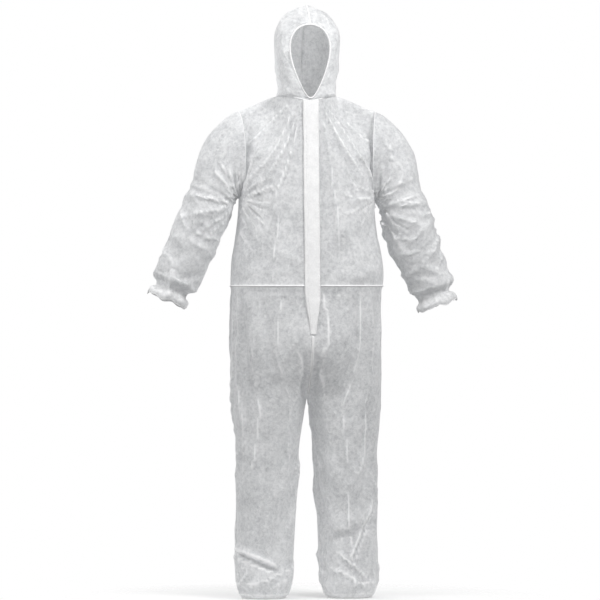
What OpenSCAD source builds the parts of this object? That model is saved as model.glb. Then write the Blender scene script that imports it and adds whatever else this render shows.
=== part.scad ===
// Disposable hooded protective coverall, in the shape it takes on a standing wearer.
// Origin: middle of the neck, at the top of the zip's height. The front faces -Y and the
// wearer's left is +X. Cloth is drawn thicker than it is, so that each panel is a solid.

/* [Overall] */
// Height of the hood's crown above the neck
crown_h = 282; // [250:1:320]
// Drop from the neck to the waist seam
waist_drop = 533; // [480:1:580]
// Drop from the neck to the crotch
crotch_drop = 850; // [800:1:900]
// Drop from the neck to the trouser hems
hem_drop = 1435; // [1330:1:1720]

/* [Body panels] */
// Width across the chest, at the armpits
chest_w = 394; // [360:1:440]
// Width at the waist seam
waist_w = 442; // [400:1:480]
// Width at the hips
hip_w = 450; // [410:1:490]
// Width from shoulder tip to shoulder tip
shoulder_w = 404; // [370:1:440]
// Depth of the front, from the centre of the neck to the throat
throat_depth = 98; // [88:1:110]
// How far the straight front line leans out over its length
front_lean = 44; // [25:1:60]
// Depth of the back at the shoulder blades
back_depth = 128; // [110:1:150]
// Thickness that the cloth is drawn with
cloth_t = 1.2; // [0.8:0.1:2]

/* [Hood] */
// Width of the hood
hood_w = 188; // [170:1:220]
// Height of the face opening
face_h = 216; // [180:1:230]
// Greatest width of the face opening
face_w = 116; // [90:1:130]

/* [Sleeves] */
// Drop from the neck to the armpits
armpit_drop = 280; // [250:1:310]
// Angle of the left sleeve from straight down
left_out = 19.5; // [12:0.5:40]
// Angle of the right sleeve from straight down
right_out = 24; // [12:0.5:40]
// Width of the sleeve at the armpit
sleeve_w = 152; // [130:1:175]
// Width of the sleeve above the wrist elastic
forearm_w = 128; // [110:1:145]
// Length of the underarm from the armpit to the wrist elastic
underarm_l = 322; // [290:1:370]
// Radius inside the wrist elastic
wrist_r = 44; // [36:1:50]
// Length of the frill past an elastic
frill_l = 30; // [15:1:45]

/* [Legs] */
// Width of a trouser leg just below the crotch
thigh_w = 222; // [190:1:226]
// Width of a trouser leg at the knee
knee_w = 188; // [160:1:215]
// Width of a trouser leg above the ankle elastic
ankle_w = 170; // [155:1:190]
// Radius inside the ankle elastic
ankle_r = 66; // [52:1:70]
// Distance from the middle to a leg's centre at the ankle
stance = 126; // [115:1:150]

/* [Zip and flap] */
// Length of the zip from its top stops to its bottom stop
zip_l = 650; // [550:1:670]
// Distance from one tooth to the next
tooth_pitch = 4; // [3:0.5:6]
// Width of the storm flap
flap_w = 44; // [38:1:60]
// Length of the zip's pull tab
tab_l = 20; // [14:1:22]

/* [Hidden] */

CLOTH = "whitesmoke";
TRIM = "white";
$fn = 48;

// Space left between pieces that meet edge to edge or that move past each other
gap = 0.6;
// Thickness of the waist seam's ridge
seam_t = 1.4;

// ---- small helpers ----
function unit(v) = v / max(norm(v), 1e-9);
function mix(a, b, k) = a * (1 - k) + b * k;
function smooth(k) = let (c = min(max(k, 0), 1)) c * c * (3 - 2 * c);
// Power that keeps the sign, for squarer ellipses
function spow(v, p) = sign(v) * pow(abs(v), p);
// Evenly spaced values from a to b, both included
function span(a, b, n) = [for (i = [0:n]) mix(a, b, i / n)];

// Outward normals of a grid of points; round grids join their last column to the first
function grid_normal(g, i, j, round) =
    let (
        m = len(g[0]),
        a = g[i][round ? (j + m - 1) % m : max(j - 1, 0)],
        b = g[i][round ? (j + 1) % m : min(j + 1, m - 1)],
        c = g[max(i - 1, 0)][j],
        d = g[min(i + 1, len(g) - 1)][j]
    )
    unit(cross(d - c, b - a));
function lifted(g, h, round) =
    [for (i = [0:len(g) - 1]) [for (j = [0:len(g[0]) - 1]) g[i][j] + h * grid_normal(g, i, j, round)]];

// A solid sheet of cloth over a grid, from height low to height high along the grid's normals
module cloth(g, low = -cloth_t, high = 0, round = false) {
    rows = len(g);
    cols = len(g[0]);
    n = rows * cols;
    outer = lifted(g, high, round);
    inner = lifted(g, low, round);
    last = round ? cols - 1 : cols - 2;
    function at(i, j) = i * cols + j % cols;
    quads = [for (i = [0:rows - 2]) for (j = [0:last])
        [at(i, j), at(i, j + 1), at(i + 1, j + 1), at(i + 1, j)]];
    tops = [for (q = quads) each [[q[0], q[1], q[2]], [q[0], q[2], q[3]]]];
    bottoms = [for (t = tops) [t[0] + n, t[2] + n, t[1] + n]];
    r = rows - 1;
    c = cols - 1;
    edges = concat([for (j = [0:last]) [at(0, j + 1), at(0, j)]],
        [for (j = [0:last]) [at(r, j), at(r, j + 1)]],
        round ? [] : [for (i = [0:r - 1]) each [[at(i, 0), at(i + 1, 0)], [at(i + 1, c), at(i, c)]]]);
    rims = [for (e = edges) each [[e[0], e[1], e[1] + n], [e[0], e[1] + n, e[0] + n]]];
    polyhedron(concat([for (row = outer) each row], [for (row = inner) each row]),
        concat(tops, bottoms, rims));
}

// A round cord along a route; each ring faces along the route and keeps the same side towards up
module cord(route, r, up = [0, 0, 1], sides = 8) {
    m = len(route);
    rings = [for (i = [0:m - 1])
        let (
            t = unit(route[min(i + 1, m - 1)] - route[max(i - 1, 0)]),
            a = unit(cross(t, up)),
            b = cross(t, a)
        )
        [for (k = [0:sides - 1]) route[i] + r * (cos(360 * k / sides) * a + sin(360 * k / sides) * b)]];
    walls = [for (i = [0:m - 2]) for (k = [0:sides - 1])
        let (p = i * sides + k, q = i * sides + (k + 1) % sides)
        for (t = [[p, p + sides, q + sides], [p, q + sides, q]]) t];
    cap = [for (k = [1:sides - 2]) [0, k, k + 1]];
    end = (m - 1) * sides;
    polyhedron([for (ring = rings) each ring],
        concat(walls, cap, [for (t = cap) [end + t[0], end + t[2], end + t[1]]]));
}

// ---- bodice ----
neck_w = hood_w - 32;
neck_y = -11;
neck_side_z = 18;
nape = [75, 9];
front_tilt = atan(front_lean / waist_drop);
chest_front = throat_depth + front_lean * armpit_drop / waist_drop;
// Depth of the straight front line at height z
function front_y(z) = -throat_depth + z * tan(front_tilt);
// The back line, from the nape out to the shoulder blades and down
function back_y(z) = mix(nape[0], back_depth, smooth((nape[1] - z) / 150)) + 10 * smooth((-z - 300) / 300);
function side_x(z) = z > -waist_drop
    ? mix(chest_w / 2, waist_w / 2, smooth((-z - armpit_drop) / (waist_drop - armpit_drop)))
    : mix(waist_w / 2, hip_w / 2, smooth((-z - waist_drop) / 130));

// Neckline and shoulder line, from the centre (k = 0) to the shoulder tip (k = 1); dir is -1 in front
neck_share = 0.55;
// Front and back panels each keep this far from the shoulder line
shoulder_gap = 2.6 * gap;
function neck_line(a, dir) =
    let (y0 = dir < 0 ? -throat_depth : nape[0], z0 = dir < 0 ? 0 : nape[1])
    [neck_w / 2 * sin(a), neck_y + (y0 - neck_y) * cos(a) + dir * shoulder_gap * sin(a),
        mix(z0, neck_side_z, sin(a))];
function top_line(k, dir) = k < neck_share
    ? neck_line(90 * k / neck_share, dir)
    : let (s = (k - neck_share) / (1 - neck_share))
        [mix(neck_w / 2, shoulder_w / 2, s), mix(neck_y, 0, s) + dir * shoulder_gap,
            mix(neck_side_z, shoulder_z, (smooth(s) + s) / 2)];
// Chest line at the armpits, front or back
function chest_line(k, dir) =
    let (y0 = dir < 0 ? -chest_front : back_y(-armpit_drop))
    [chest_w / 2 * spow(sin(90 * k), 0.8), y0 * spow(cos(90 * k), 0.8), -armpit_drop];
// Armhole edge from the shoulder tip (v = 0) to the armpit (v = 1)
shoulder_z = -27;
armhole_y = 70;
armhole_in = 14;
function armhole_pt(v, dir) =
    let (s = sqrt(max(0, 1 - (1 - 2 * v) * (1 - 2 * v))))
    [mix(shoulder_w / 2, chest_w / 2, v) - armhole_in * s, dir * armhole_y * s,
        mix(shoulder_z, -armpit_drop, v)];
// A bodice panel row above the armpits runs from the centre line to the armhole
function upper_row(k, v, dir) =
    let (
        a = top_line(k, dir),
        b = chest_line(k, dir),
        z = mix(a[2], b[2], v),
        w = smooth(v * 1.6),
        x = mix(a[0], b[0], w),
        c = spow(cos(90 * k), 0.8),
        zc = mix(dir < 0 ? 0 : nape[1], -armpit_drop, v),
        line = dir < 0 ? front_y(zc) : back_y(zc),
        y = mix(a[1] + (line - (dir < 0 ? -throat_depth : nape[0])) * c, line * c, w),
        e = armhole_pt(v, dir),
        pull = pow(k, 6)
    )
    mix([x, y, z], e, pull);
function lower_row(k, z, dir) =
    let (y0 = dir < 0 ? front_y(z) : back_y(z))
    [side_x(z) * spow(sin(90 * k), 0.8), y0 * spow(cos(90 * k), 0.8), z];
armpit_rows = span(0, 1, 8);
waist_rows = span(-armpit_drop, -waist_drop, 4);
function bodice_pt(k, row, dir) = row <= 8
    ? upper_row(k, armpit_rows[row], dir)
    : lower_row(k, waist_rows[row - 8], dir);

// Half the space between the two front panels, where the zip shows, and the flat edge beside it
zip_slot = 6;
placket_w = 12;
panel_end = 0.9985;
front_k = concat([0, 0.1], span(0.2, panel_end, 9));
// Front panel on the +X side; its centre edge keeps flat and straight beside the zip
function front_grid() = [for (row = [0:12])
    [for (k = front_k)
        let (p = bodice_pt(k, row, -1), c = bodice_pt(0, row, -1))
        k > 0.1 ? p : [zip_slot + placket_w * k / 0.1, c[1], c[2]]]];
module front_panel() { color(CLOTH) cloth(front_grid()); }

module back_panel() {
    back_k = span(-panel_end, panel_end, 20);
    color(CLOTH) cloth([for (row = [12:-1:0])
        [for (k = back_k) let (p = bodice_pt(abs(k), row, 1)) [sign(k) * p[0], p[1], p[2]]]]);
}

seam_r = 1.7;
// Seams are drawn as fine ridges that stand just clear of the cloth
module shoulder_seam() {
    color(TRIM) cord([for (k = span(neck_share + 0.04, 0.95, 6))
        (top_line(k, -1) + top_line(k, 1)) / 2 + [0.7, 0, seam_r + 0.7]], seam_r);
}
module shoulder_seams() { shoulder_seam(); mirror([1, 0, 0]) shoulder_seam(); }
// How far the armhole seam stands outside the armhole's edge
armhole_lift = 4.8;
module armhole_seam() {
    middle = [chest_w / 2, 0, (shoulder_z - armpit_drop) / 2];
    color(TRIM) cord([for (a = span(36, 324, 26))
        let (v = (1 + cos(a)) / 2, p = armhole_pt(v, sin(a) > 0 ? -1 : 1))
        p + armhole_lift * unit([0, p[1], p[2] - middle[2]]) + [3, 0, 0]], seam_r, [1, 0, 0]);
}
module side_seam() {
    edge = [for (z = waist_rows) [z, side_x(z)]];
    levels = concat([-armpit_drop - 16], [for (i = [1:3]) waist_rows[i]], [-waist_drop + 9]);
    color(TRIM) cord([for (z = levels) [lookup(z, edge) + seam_r + 0.7, 0, z]], seam_r, [0, 1, 0]);
}
module side_seams() { side_seam(); mirror([1, 0, 0]) side_seam(); }
// Outline of the body at height z; a turns from the front centre through the +X side to the back
function body_pt(z, a) = [side_x(z) * spow(sin(a), 0.8), cos(a) > 0 ? front_y(z) * spow(cos(a), 0.8)
    : -back_y(z) * spow(cos(a), 0.8), z];
module waist_seam() {
    levels = [-waist_drop + 4, -waist_drop - 5];
    color(TRIM) cloth([for (z = levels) [for (a = span(4.5, 355.5, 78)) body_pt(z, a)]],
        gap, gap + seam_t);
}
module waist_elastic() {
    levels = [-waist_drop - 8, -waist_drop - 8 - elastic_w];
    color(TRIM) cloth([for (z = levels) [for (a = span(110, 250, 16)) body_pt(z, a)]],
        -cloth_t - 1.9, -cloth_t - 0.7);
}
function neck_pt(a, grow) = [(neck_w / 2 + grow) * sin(a),
    neck_y - ((cos(a) > 0 ? throat_depth + neck_y : nape[0] - neck_y) + grow) * cos(a),
    mix(cos(a) > 0 ? 2.8 : nape[1] + 4, neck_side_z + 2.3, abs(sin(a)))];
module neck_seam() {
    color(TRIM) cord([for (a = span(8, 352, 40)) neck_pt(a, 0)], seam_r);
}
label_size = [32, 0.8, 46];
module care_label() {
    color(TRIM) translate([-label_size[0] / 2, nape[0] - 6, nape[1] - label_size[2]]) cube(label_size);
}

// ---- trousers above the crotch ----
seam_x = 3;
seat_z = -680;
// How far, from 0 to 1, the inner edge has moved from the centre seam towards the leg
function crotch_in(z) =
    let (down = max(0, (seat_z - z) / (crotch_drop + seat_z)))
    0.35 * smooth(down) + 0.65 * down;
function seat_cx(z) = mix(seam_x, seam_x + thigh_w / 2, crotch_in(z));
function seat_square(z) = mix(0.8, 1, crotch_in(z));
// Point of a half-body outline at height z; turn runs from the front centre over the hip to the back
function seat_pt(z, k) =
    let (
        cx = seat_cx(z),
        hw = side_x(z) - cx,
        e = seat_square(z),
        open = max(acos(pow((cx - seam_x) / hw, 1 / e)), 4),
        turn = mix(open, 360 - open, k),
        front = mix(front_y(max(z, seat_z)), -thigh_w / 2, smooth(crotch_in(z))),
        back = mix(back_y(z), thigh_w / 2, smooth(crotch_in(z))),
        s = spow(sin(turn), e)
    )
    z > seat_z - 1 && k < 0.05
        ? [zip_slot + placket_w * k * ring_n, front, z]
        : [cx - hw * spow(cos(turn), e), s > 0 ? front * s : -back * s, z];
seat_rows = concat(span(-waist_drop - 1.5, seat_z, 3),
    [for (f = [0.3, 0.55, 0.75, 0.88, 0.96, 1]) mix(seat_z, -crotch_drop, f)]);
ring_n = 24;
module trouser_seat() {
    color(CLOTH) cloth([for (z = seat_rows) [for (k = span(0, 1, ring_n)) seat_pt(z, k)]]);
}

// The rise seam runs from below the zip, under the crotch and up the back
function rise_pt(p) = [0, p[1], p[2]] + 3 * unit([0, p[1], p[2] - seat_z - 60]);
module crotch_seam() {
    front = [for (z = span(seat_z - 12, -crotch_drop + 4, 9)) rise_pt(seat_pt(z, 0))];
    back = [for (z = span(-crotch_drop + 4, -waist_drop - 12, 14)) rise_pt(seat_pt(z, 1))];
    color(TRIM) cord(concat(front, [[0, 0, -crotch_drop - 3]], back), seam_r, [1, 0, 0]);
}

// ---- legs below the crotch ----
knee_z = -1025;
ankle_z = -hem_drop + frill_l - 6;
function leg_cx(z) = mix(seam_x + thigh_w / 2, stance, (-z - crotch_drop) / (hem_drop - crotch_drop));
function leg_r(z) = z > knee_z
    ? mix(thigh_w / 2, knee_w / 2, smooth((-z - crotch_drop) / (-knee_z - crotch_drop)))
    : z > ankle_z + 30
        ? mix(knee_w / 2, ankle_w / 2, smooth((knee_z - z) / (knee_z - ankle_z - 30)))
        : mix(ankle_w / 2, ankle_r + hem_ease, smooth((ankle_z + 30 - z) / 24));
function leg_ring(z, r) = [for (j = [0:ring_n - 1])
    [leg_cx(z) - r * cos(360 * j / ring_n), -r * sin(360 * j / ring_n), z]];
module leg_part(levels) {
    color(CLOTH) cloth([for (z = levels) leg_ring(z, leg_r(z))], round = true);
}
// Levels where the leg's stretches of cloth change over
hip_end = -crotch_drop - 85;
knee_start = hip_end - 20;
knee_end = knee_z - 70;
module leg_hip() { leg_part(span(-crotch_drop - gap, hip_end + gap, 3)); }
module leg_thigh() { leg_part([hip_end, knee_start]); }
module leg_knee() { leg_part(span(knee_start - gap, knee_end + gap, 4)); }
module leg_shin() {
    leg_part(concat(span(knee_end, ankle_z + 30, 4), [ankle_z + 18, ankle_z + 8, ankle_z - 6]));
}
// Room between an elastic's inside and the outside of the cloth around it
hem_ease = 4;
elastic_w = 9;
elastic_t = 1.6;
module elastic_band(r) {
    color(TRIM) difference() {
        cylinder(r = r + elastic_t, h = elastic_w, center = true);
        cylinder(r = r, h = elastic_w + 2, center = true);
    }
}
module ankle_elastic() { translate([leg_cx(ankle_z), 0, ankle_z]) elastic_band(ankle_r); }
module ankle_frill() {
    top = ankle_z - 6 - gap;
    color(CLOTH) cloth([for (f = [0, 0.5, 1])
        leg_ring(mix(top, -hem_drop, f), ankle_r + hem_ease + 6 * sin(90 * f))], round = true);
}

// ---- sleeves, drawn on the +X side; out is the angle from straight down ----
armpit = [chest_w / 2, 0, -armpit_drop];
armhole_h = armpit_drop + shoulder_z;
function sleeve_dir(out) = [sin(out), 0, -cos(out)];
function sleeve_across(out) = [cos(out), 0, sin(out)];
// A ring of the shoulder's fan, at angle turn from upright
function fan_ring(turn, out) =
    let (
        most = 90 - out,
        near = 1 - turn / most,
        up = [sin(turn), 0, cos(turn)],
        base = armpit + sleeve_dir(out) * (2 + 18 * (1 - near)),
        h = mix(sleeve_w, armhole_h, pow(near, 1.6)) - 2 * near
    )
    [for (j = [0:ring_n - 1])
        let (a = 360 * j / ring_n, c = (1 + cos(a)) / 2)
        base + up * h * c + [near * ((shoulder_w - chest_w) / 2 * c - armhole_in * abs(sin(a))),
            armhole_y * sin(a), 0]];
// Length over which the sleeve closes in to the wrist elastic
wrist_run = 36;
// Width of the sleeve at distance s below the armpit
function sleeve_width(s) =
    s < underarm_l - wrist_run
        ? mix(sleeve_w, forearm_w, smooth((s - 90) / (underarm_l - wrist_run - 90)))
        : mix(forearm_w, 2 * (wrist_r + hem_ease), smooth((s - underarm_l + wrist_run) / (wrist_run - 6)));
function sleeve_middle(s, out) =
    armpit + sleeve_dir(out) * s + sleeve_across(out) * (sleeve_w / 2 - 4 * smooth(s / underarm_l));
function sleeve_ring(s, w, out) = [for (j = [0:ring_n - 1])
    let (a = 360 * j / ring_n, round_up = mix(armhole_y / (sleeve_w / 2), 1, smooth(s / underarm_l)))
    sleeve_middle(s, out) + w / 2 * (sleeve_across(out) * cos(a) + [0, sin(a) * round_up, 0])];
module sleeve_part(levels, out) {
    color(CLOTH) cloth([for (s = levels) sleeve_ring(s, sleeve_width(s), out)], round = true);
}
shoulder_end = 45;
elbow_start = 62;
elbow_end = 172;
module sleeve_shoulder(out) {
    color(CLOTH) cloth(concat([for (f = span(0.04, 1, 6)) fan_ring(f * (90 - out), out)],
        [sleeve_ring(shoulder_end - gap, sleeve_w, out)]), round = true);
}
module sleeve_upper(out) { sleeve_part([shoulder_end, elbow_start], out); }
module sleeve_elbow(out) { sleeve_part(span(elbow_start + gap, elbow_end - gap, 4), out); }
module sleeve_lower(out) {
    closing = [underarm_l - 24, underarm_l - 14, underarm_l + 6];
    sleeve_part(concat(span(elbow_end, underarm_l - wrist_run, 3), closing), out);
}
module wrist_elastic(out) {
    translate(sleeve_middle(underarm_l, out)) rotate([0, -out, 0]) elastic_band(wrist_r);
}
// How much wider a cuff is at its hem than at its elastic
cuff_flare = 22;
module cuff_frill(out) {
    color(CLOTH) cloth([for (f = [0, 0.5, 1])
        sleeve_ring(underarm_l + 6 + gap + f * frill_l,
            2 * (wrist_r + hem_ease) + cuff_flare * sin(90 * f), out)],
        round = true);
}

throat_z = 6;
// ---- hood: t runs down the face opening from 0 at the top to 180 at the throat ----
function face_pt(t, grow = 0) = [
    sin(t) * ((0.476 + 0.218 * cos(t)) * face_w + grow),
    -throat_depth + 10 + 10 * cos(t),
    throat_z + face_h / 2 * (1 + cos(t)) + grow * cos(t)];
function back_seam_pt(t) = [0, 5 + 80 * sin(t) + (nape[0] - 5) / 2 * (1 - cos(t)),
    nape[1] + 8 + (crown_h - nape[1] - 8) / 2 * (1 + cos(t))];
// s runs around the head from the face opening (0) to the back seam (1)
function hood_pt(t, s) =
    let (
        o = face_pt(t),
        b = back_seam_pt(t),
        wide = (hood_w / 2 - 16) * sqrt(sin(min(t * 1.3, 90)))
    )
    [o[0] * (1 - s) * (1 - s) + wide * spow(sin(180 * s), mix(0.7, 1, t / 180)),
        mix(o[1], b[1], (1 - cos(180 * s)) / 2),
        o[2] + (b[2] - o[2]) * sin(90 * s) + 5 * (1 - cos(t)) * sin(180 * s)];
fold_t = 130;
around_s = [for (i = [0:12]) 0.9985 * (1 - cos(15 * i)) / 2];
module hood_panel() {
    color(CLOTH) cloth([for (t = concat([0.05, 0.6, 2, 5, 10], span(18, fold_t, 8)))
        [for (s = around_s) hood_pt(t, s)]]);
}
module neck_fold() {
    color(CLOTH) cloth([for (t = span(fold_t + 1, 177, 4))
        [for (i = [-12:12]) let (p = hood_pt(t, (1 + cos(15 * i)) / 2)) [-sign(i) * p[0], p[1], p[2]]]]);
}
module hood_centre_seam() {
    crown = [for (s = span(0.03, 1, 9)) let (p = hood_pt(0, s)) [0, p[1], p[2]]];
    back = [for (t = span(12, fold_t - 1, 12)) back_seam_pt(t)];
    middle = [0, 20, 130];
    color(TRIM) cord([for (p = concat(crown, back)) p + 2.6 * unit(p - middle)], seam_r, [1, 0, 0]);
}
function face_loop(grow, back) = [for (t = span(-176, 176, 44))
    let (p = face_pt(abs(t), grow)) [sign(t) * p[0], p[1] + back, p[2]]];
hem_r = 2.6;
module face_hem() { color(TRIM) cord(face_loop(-hem_r - 1, 0), hem_r, [0, 1, 0]); }
module face_elastic() { color(TRIM) cord(face_loop(-hem_r - 1, hem_r + 1.6), 1.2, [0, 1, 0]); }

// ---- zip and flap, drawn beside the straight front line: x across, y inwards, z up the line ----
module on_front(s = 0) {
    translate([0, -throat_depth, 0]) rotate([-front_tilt, 0, 0]) translate([0, 0, -s]) children();
}
tape_y = cloth_t + 0.05;
tape_t = 0.6;
tape_in = 1.4;
tape_w = 14;
tooth_w = 2.6;
tooth_in = 0.8;
teeth_y = [0.6, 2.5];
zip_top = 5;
// One row of teeth as a comb, so that a single outline gives the whole row
module zip_teeth() {
    count = floor((zip_l - 12) / tooth_pitch);
    comb = concat(
        [for (i = [0:count - 1]) each let (z = -zip_top - 4 - i * tooth_pitch) [
            [tooth_in + 1.2, z], [tooth_in, z - 0.2 * tooth_pitch],
            [tooth_in, z - 0.5 * tooth_pitch], [tooth_in + 1.2, z - 0.7 * tooth_pitch]]],
        [[tooth_in + tooth_w, -zip_top - 4 - count * tooth_pitch], [tooth_in + tooth_w, -zip_top - 4]]);
    color(TRIM) on_front() translate([0, teeth_y[1], 0]) rotate([90, 0, 0])
        linear_extrude(teeth_y[1] - teeth_y[0]) polygon(comb);
}
module zip_tape() {
    color(TRIM) on_front() difference() {
        translate([tape_in, tape_y, -zip_l - zip_top - 3]) cube([tape_w, tape_t, zip_l]);
        translate([0, teeth_y[0] - 0.1, -zip_l - 2])
            cube([tooth_in + tooth_w + 0.1, 3, zip_l + 2 - zip_top + 0.2]);
    }
}
stop_size = [2.2, 2.2, 3.4];
module zip_top_stops() {
    color(TRIM) on_front() for (side = [0, 1]) mirror([side, 0, 0])
        translate([tooth_in + 0.4, 0.4, -zip_top - 3.6]) cube(stop_size);
}
module zip_bottom_stop() {
    color(TRIM) on_front(zip_l + 1) translate([-3.2, 0.4, 0]) cube([6.4, 2.4, 4]);
}
slider_size = [10, 12];
slider_rest = 22;
post_r = 1.5;
tab_clear = 0.3;
module zip_slider() {
    w = slider_size[0];
    l = slider_size[1];
    color(TRIM) on_front(slider_rest) {
        difference() {
            translate([-w / 2, -1.2, -l / 2]) cube([w, 4.9, l]);
            translate([-tooth_in - tooth_w - 0.5, 0.1, -l]) cube([2 * (tooth_in + tooth_w) + 1, 2.9, 2 * l]);
            translate([-w, 0.7, -l]) cube([2 * w, 1.7, 2 * l]);
        }
        translate([-0.35, 0, l / 2 - 3]) cube([0.7, 3.2, 3]);
        rotate([90, 0, 0]) cylinder(r = post_r, h = 3.6);
        translate([0, -3.3, 0]) rotate([90, 0, 0]) cylinder(r = 2.5, h = 0.7);
    }
}
module zip_pull_tab() {
    color(TRIM) on_front(slider_rest) translate([0, -1.7, 0]) rotate([90, 0, 0]) difference() {
        union() {
            cylinder(r = 3.6, h = 1.1);
            translate([-2.5, -tab_l, 0]) cube([5, tab_l, 1.1]);
            translate([0, -tab_l, 0]) cylinder(r = 2.5, h = 1.1);
        }
        translate([0, 0, -1]) cylinder(r = post_r + tab_clear, h = 4);
    }
}
flap_x = 22;
flap_y = 5.2;
flap_t = 0.9;
roll_r = 2.4;
flap_l = zip_l + 26;
// Sewn edge on the -X side as a roll, with the leaf lying over the zip
module storm_flap() {
    color(TRIM) on_front(flap_l + 2) {
        translate([-flap_x, -flap_y - flap_t + roll_r, 0]) cylinder(r = roll_r, h = flap_l);
        translate([-flap_x, -flap_y - flap_t, 0]) cube([flap_w, flap_t, flap_l]);
    }
}
stitch = [1.6, 0.4];
module flap_stitching() {
    color("gainsboro") on_front(flap_l - 2) for (x = [-flap_x + 9, flap_w - flap_x - 3])
        translate([x - stitch[0] / 2, -flap_y - flap_t - stitch[1], 0])
            cube([stitch[0], stitch[1], flap_l - 8]);
}

front_panel();  // front_panel_left
mirror([1, 0, 0]) front_panel();  // front_panel_right
back_panel();
trouser_seat();  // trouser_seat_left
mirror([1, 0, 0]) trouser_seat();  // trouser_seat_right
neck_fold();
neck_seam();
shoulder_seams();
side_seams();
armhole_seam();  // armhole_seam_left
mirror([1, 0, 0]) armhole_seam();  // armhole_seam_right
waist_seam();
waist_elastic();
crotch_seam();
care_label();
hood_panel();  // hood_panel_left
mirror([1, 0, 0]) hood_panel();  // hood_panel_right
hood_centre_seam();
face_hem();
face_elastic();
zip_tape();  // zip_tape_left
mirror([1, 0, 0]) zip_tape();  // zip_tape_right
zip_teeth();  // zip_teeth_left
mirror([1, 0, 0]) zip_teeth();  // zip_teeth_right
zip_top_stops();
zip_bottom_stop();
zip_slider();
zip_pull_tab();
storm_flap();
flap_stitching();
sleeve_shoulder(left_out);  // sleeve_shoulder_left
sleeve_upper(left_out);  // sleeve_upper_left
sleeve_elbow(left_out);  // sleeve_elbow_left
sleeve_lower(left_out);  // sleeve_lower_left
wrist_elastic(left_out);  // wrist_elastic_left
cuff_frill(left_out);  // cuff_frill_left
mirror([1, 0, 0]) sleeve_shoulder(right_out);  // sleeve_shoulder_right
mirror([1, 0, 0]) sleeve_upper(right_out);  // sleeve_upper_right
mirror([1, 0, 0]) sleeve_elbow(right_out);  // sleeve_elbow_right
mirror([1, 0, 0]) sleeve_lower(right_out);  // sleeve_lower_right
mirror([1, 0, 0]) wrist_elastic(right_out);  // wrist_elastic_right
mirror([1, 0, 0]) cuff_frill(right_out);  // cuff_frill_right
leg_hip();  // leg_hip_left
leg_thigh();  // leg_thigh_left
leg_knee();  // leg_knee_left
leg_shin();  // leg_shin_left
ankle_elastic();  // ankle_elastic_left
ankle_frill();  // ankle_frill_left
mirror([1, 0, 0]) leg_hip();  // leg_hip_right
mirror([1, 0, 0]) leg_thigh();  // leg_thigh_right
mirror([1, 0, 0]) leg_knee();  // leg_knee_right
mirror([1, 0, 0]) leg_shin();  // leg_shin_right
mirror([1, 0, 0]) ankle_elastic();  // ankle_elastic_right
mirror([1, 0, 0]) ankle_frill();  // ankle_frill_right
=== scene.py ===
# %% [markdown]
# # A disposable hooded coverall
# The suit is thin non-woven cloth, cut as panels and sewn into one garment that stands as if a
# person wore it: hood, bodice, sleeves and trousers, with a zip under a storm flap. This script
# dresses the imported CAD model. The frame comes first, because the bodice, seams, hems, flap
# and label ride on the CAD bodies that carry them.
# %% Load the frame
import math, time
import bpy
import numpy as np
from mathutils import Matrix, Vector


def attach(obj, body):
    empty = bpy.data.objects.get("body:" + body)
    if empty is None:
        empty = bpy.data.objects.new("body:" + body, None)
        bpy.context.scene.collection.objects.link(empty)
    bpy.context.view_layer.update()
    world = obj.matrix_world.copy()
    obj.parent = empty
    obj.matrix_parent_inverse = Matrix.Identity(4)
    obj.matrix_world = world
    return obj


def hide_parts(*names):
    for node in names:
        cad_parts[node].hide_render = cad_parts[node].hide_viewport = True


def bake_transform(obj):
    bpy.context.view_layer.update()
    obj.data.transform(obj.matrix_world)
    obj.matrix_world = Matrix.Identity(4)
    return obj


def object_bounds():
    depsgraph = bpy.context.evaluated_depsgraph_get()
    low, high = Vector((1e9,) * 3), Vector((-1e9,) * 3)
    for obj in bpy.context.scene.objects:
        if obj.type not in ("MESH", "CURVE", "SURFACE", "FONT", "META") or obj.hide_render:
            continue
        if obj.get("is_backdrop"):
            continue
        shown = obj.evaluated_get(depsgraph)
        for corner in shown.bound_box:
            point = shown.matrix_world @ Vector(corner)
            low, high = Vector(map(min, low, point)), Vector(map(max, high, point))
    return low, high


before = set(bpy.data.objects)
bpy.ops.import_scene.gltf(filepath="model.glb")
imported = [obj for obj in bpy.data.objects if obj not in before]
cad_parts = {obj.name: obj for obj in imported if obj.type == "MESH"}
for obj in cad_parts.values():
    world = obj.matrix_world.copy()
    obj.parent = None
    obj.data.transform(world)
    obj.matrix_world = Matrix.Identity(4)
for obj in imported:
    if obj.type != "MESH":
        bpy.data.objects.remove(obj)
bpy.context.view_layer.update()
started = time.time()

# %% [markdown]
# ## Shader helpers
# A material is a web of small nodes, and so is the white room that lights the suit. Written as
# Python expressions a web reads like the sum it is, so one class wraps a number that varies over
# the surface, and one method adds any other node.
# %% Expressions for materials
class Amount:
    """A value in a material. Arithmetic on it adds Math nodes."""
    def __init__(self, finish, socket):
        self.finish, self.socket = finish, socket

    def math(self, operation, *values):
        return self.finish.node("ShaderNodeMath", dict(operation=operation), dict(enumerate(values)))

    def __add__(self, other): return self.math("ADD", self, other)
    def __radd__(self, other): return self.math("ADD", other, self)
    def __sub__(self, other): return self.math("SUBTRACT", self, other)
    def __rsub__(self, other): return self.math("SUBTRACT", other, self)
    def __mul__(self, other): return self.math("MULTIPLY", self, other)
    def __rmul__(self, other): return self.math("MULTIPLY", other, self)
    def __pow__(self, other): return self.math("POWER", self, other)
    def clamp(self): return self.math("MAXIMUM", self.math("MINIMUM", self, 1.0), 0.0)

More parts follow.
